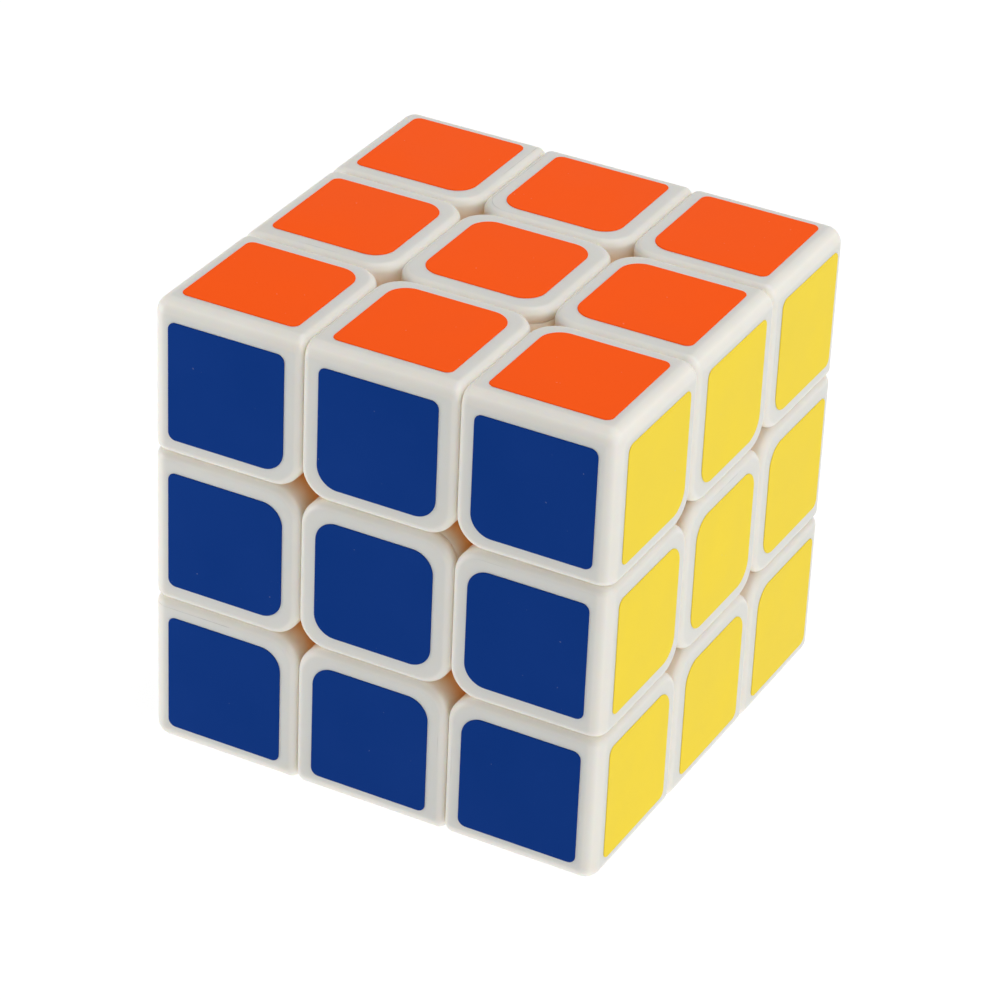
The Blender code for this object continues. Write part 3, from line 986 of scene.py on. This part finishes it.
def vinyl_wear_and_edge_shade_group():
    """Marks of handling on vinyl, a soft cloudiness and fine specks, and a mask for painted shade at
    the cut edge.

    The cloud is a large noise. Specks are the few spots where a fine noise is highest. The edge,
    which darkens the colour as painted shade, is one at the sticker's outline and falls off over a
    fifth of a millimetre in. The peel is a fine noise for the surface's height.
    """
    group, kit, _, given = new_group(
        "vinyl_wear_and_edge_shade", {}, {"Cloud": "Float", "Specks": "Float", "Edge": "Float", "Peel": "Float"}
    )
    place = kit.tree.nodes.new("ShaderNodeTexCoord").outputs["Object"]
    inset = kit.node("ShaderNodeAttribute", {"attribute_name": "inset_mm"}).outputs["Fac"]
    kit.feed(given["Cloud"], kit.noise(place, CLOUD_SCALE, 3.0))
    kit.feed(given["Specks"], kit.band(kit.noise(place, SPECK_SCALE, 1.0), 0.78, 0.83))
    kit.feed(given["Edge"], kit.band(inset, 0.0, 0.2, 1.0, 0.0))
    kit.feed(given["Peel"], kit.noise(place, PEEL_SCALE, 2.0))
    return group


vinyl_wear_and_edge_shade = vinyl_wear_and_edge_shade_group()


def vinyl(name, colour, painted_glow):
    """Satin vinyl of one colour, cloudy, speckled, and a little darker at the cut edge by painted
    shade.

    A glow above nothing is painted light: an emission of the sticker's own colour, which makes it
    brighter than the lamps alone would.
    """
    kit = Finish(f"sticker_{name}")
    wear_and_edge_shade = kit.use(vinyl_wear_and_edge_shade)
    lighter = tuple(channel * 1.05 + 0.004 for channel in colour)
    mixed = kit.mixed(wear_and_edge_shade["Cloud"], rgba(shade(colour, 0.95)), rgba(lighter))
    mixed = kit.mixed(kit.maths("MULTIPLY", wear_and_edge_shade["Specks"], 0.15), mixed, rgba(SPECK_COLOUR))
    # Painted shade: the colour is a little darker along the cut edge
    mixed = kit.mixed(kit.maths("MULTIPLY", wear_and_edge_shade["Edge"], 0.1), mixed, rgba(shade(colour, 0.7)))
    kit.feed(kit.shader.inputs["Base Color"], mixed)
    kit.feed(kit.shader.inputs["Roughness"], kit.band(wear_and_edge_shade["Cloud"], 0.3, 0.7, 0.34, 0.44))
    kit.shader.inputs["Specular IOR Level"].default_value = 0.03
    # Painted glow: an emission of the sticker's own colour, at the face's strength
    kit.shader.inputs["Emission Color"].default_value = rgba(colour)
    kit.shader.inputs["Emission Strength"].default_value = painted_glow
    bumped(kit, wear_and_edge_shade["Peel"], 0.1, GRAIN_DEPTH)
    return kit.material


def corner_radii(column, row):
    """The corner radius at each angle of a sticker, larger where four cubies meet.

    In cubies from the face's middle, they meet where both distances are a half.
    """
    signs = [(1, 1), (-1, 1), (-1, -1), (1, -1)]
    radii = np.array([
        CROSSING_CORNER
        if abs(column + x / 2) == 0.5 and abs(row + y / 2) == 0.5
        else PLAIN_CORNER
        for x, y in signs
    ])
    return radii[(around // (pi / 2)).astype(int) % 4]


def sticker_surface(column, row):
    """A thin plate over rings of the cut outline, each drawn in by an inset at its height."""
    quarter = np.linspace(0, pi / 2, 4)
    base = FLAT + GLUE_LINE
    profile = [(0, base)]
    profile += [(STICKER_EDGE * (1 - cos(a)), HALF - STICKER_EDGE * (1 - sin(a))) for a in quarter]
    profile += [(inset, HALF) for inset in PLATE_INSETS]
    radii = corner_radii(column, row)
    rings = [
        ring(rounded_square(STICKER_HALF - inset, radii - inset), height)
        for inset, height in profile
    ]
    points, faces = lofted(np.array(rings))
    points[:, :2] += np.array((column, row)) * STICKER_PITCH
    insets = np.repeat([inset / MM for inset, _ in profile], RING_POINTS)
    return points, faces, np.append(insets, (STICKER_HALF / MM,) * 2)


for face, turn in FACE_TURNS.items():
    colour_name, colour, painted_glow = STICKER_COLOURS[face]
    finish = vinyl(colour_name, colour, painted_glow)
    for column in (-1, 0, 1):
        for row in (-1, 0, 1):
            points, faces, insets = sticker_surface(column, row)
            name = f"{face}_sticker_{column + 2}_{row + 2}"
            sticker = new_piece(name, points, faces, finish, turn)
            inset_mm = sticker.data.attributes.new("inset_mm", "FLOAT", "POINT")
            inset_mm.data.foreach_set("value", insets)
            height = (turn_matrix(turn) @ np.array((column, row, 1.5)))[2]
            layer = "top_layer" if height > 0.5 else "bottom_layer" if height < -0.5 else "middle_layer"
            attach(sticker, layer if column or row else f"{face}_cap_body")

# ---------------------------------------------------------------------------
# Floor and studio light: a white table that runs out of sight, an even
# surround, and four soft lamps: large ones above and on the right, a weaker
# one behind, and a small one low on the left.
# ---------------------------------------------------------------------------
FLOOR_REACH = 3.0
FLOOR_DROP = 0.1 * MM
FLOOR_GREY = 0.2
FLOOR_GLOW = 0.88
SURROUND = 0.2
# Each lamp's name, its place in metres, its width in metres and its power in watts
LAMPS = (
    ("lamp_above", (0.15, 0.15, 1.0), 0.9, 5.6),
    ("lamp_right", (1.0, -0.15, 0.55), 0.8, 3.5),
    ("lamp_left", (-0.20, -0.10, 0.06), 0.08, 0.14),
    ("lamp_behind", (-0.42, 0.84, 0.36), 0.4, 0.4),
)

mesh = bpy.data.meshes.new("floor")
corners = ((-1, -1), (1, -1), (1, 1), (-1, 1))
spots = [(x * FLOOR_REACH, y * FLOOR_REACH, -FLOOR_DROP) for x, y in corners]
mesh.from_pydata(spots, [], [(0, 1, 2, 3)])
floor = bpy.data.objects.new("floor", mesh)
bpy.context.scene.collection.objects.link(floor)
kit = Finish("floor_white")
kit.shader.inputs["Base Color"].default_value = rgba((FLOOR_GREY,) * 3)
kit.shader.inputs["Roughness"].default_value = 0.7
kit.shader.inputs["Emission Color"].default_value = (1, 1, 1, 1)
kit.shader.inputs["Emission Strength"].default_value = FLOOR_GLOW
mesh.materials.append(kit.material)

world = bpy.data.worlds.new("surround")
world.use_nodes = True
world.node_tree.nodes["Background"].inputs["Color"].default_value = (1, 1, 1, 1)
world.node_tree.nodes["Background"].inputs["Strength"].default_value = SURROUND
bpy.context.scene.world = world
for name, spot, size, power in LAMPS:
    data = bpy.data.lights.new(name, "AREA")
    data.shape = "DISK"
    data.size = size
    data.energy = power
    lamp = bpy.data.objects.new(name, data)
    lamp.location = spot
    lamp.rotation_mode = "QUATERNION"
    lamp.rotation_quaternion = (Vector(spot) - MIDDLE).to_track_quat("Z", "Y")
    bpy.context.scene.collection.objects.link(lamp)
bpy.context.scene.view_settings.view_transform = "Standard"
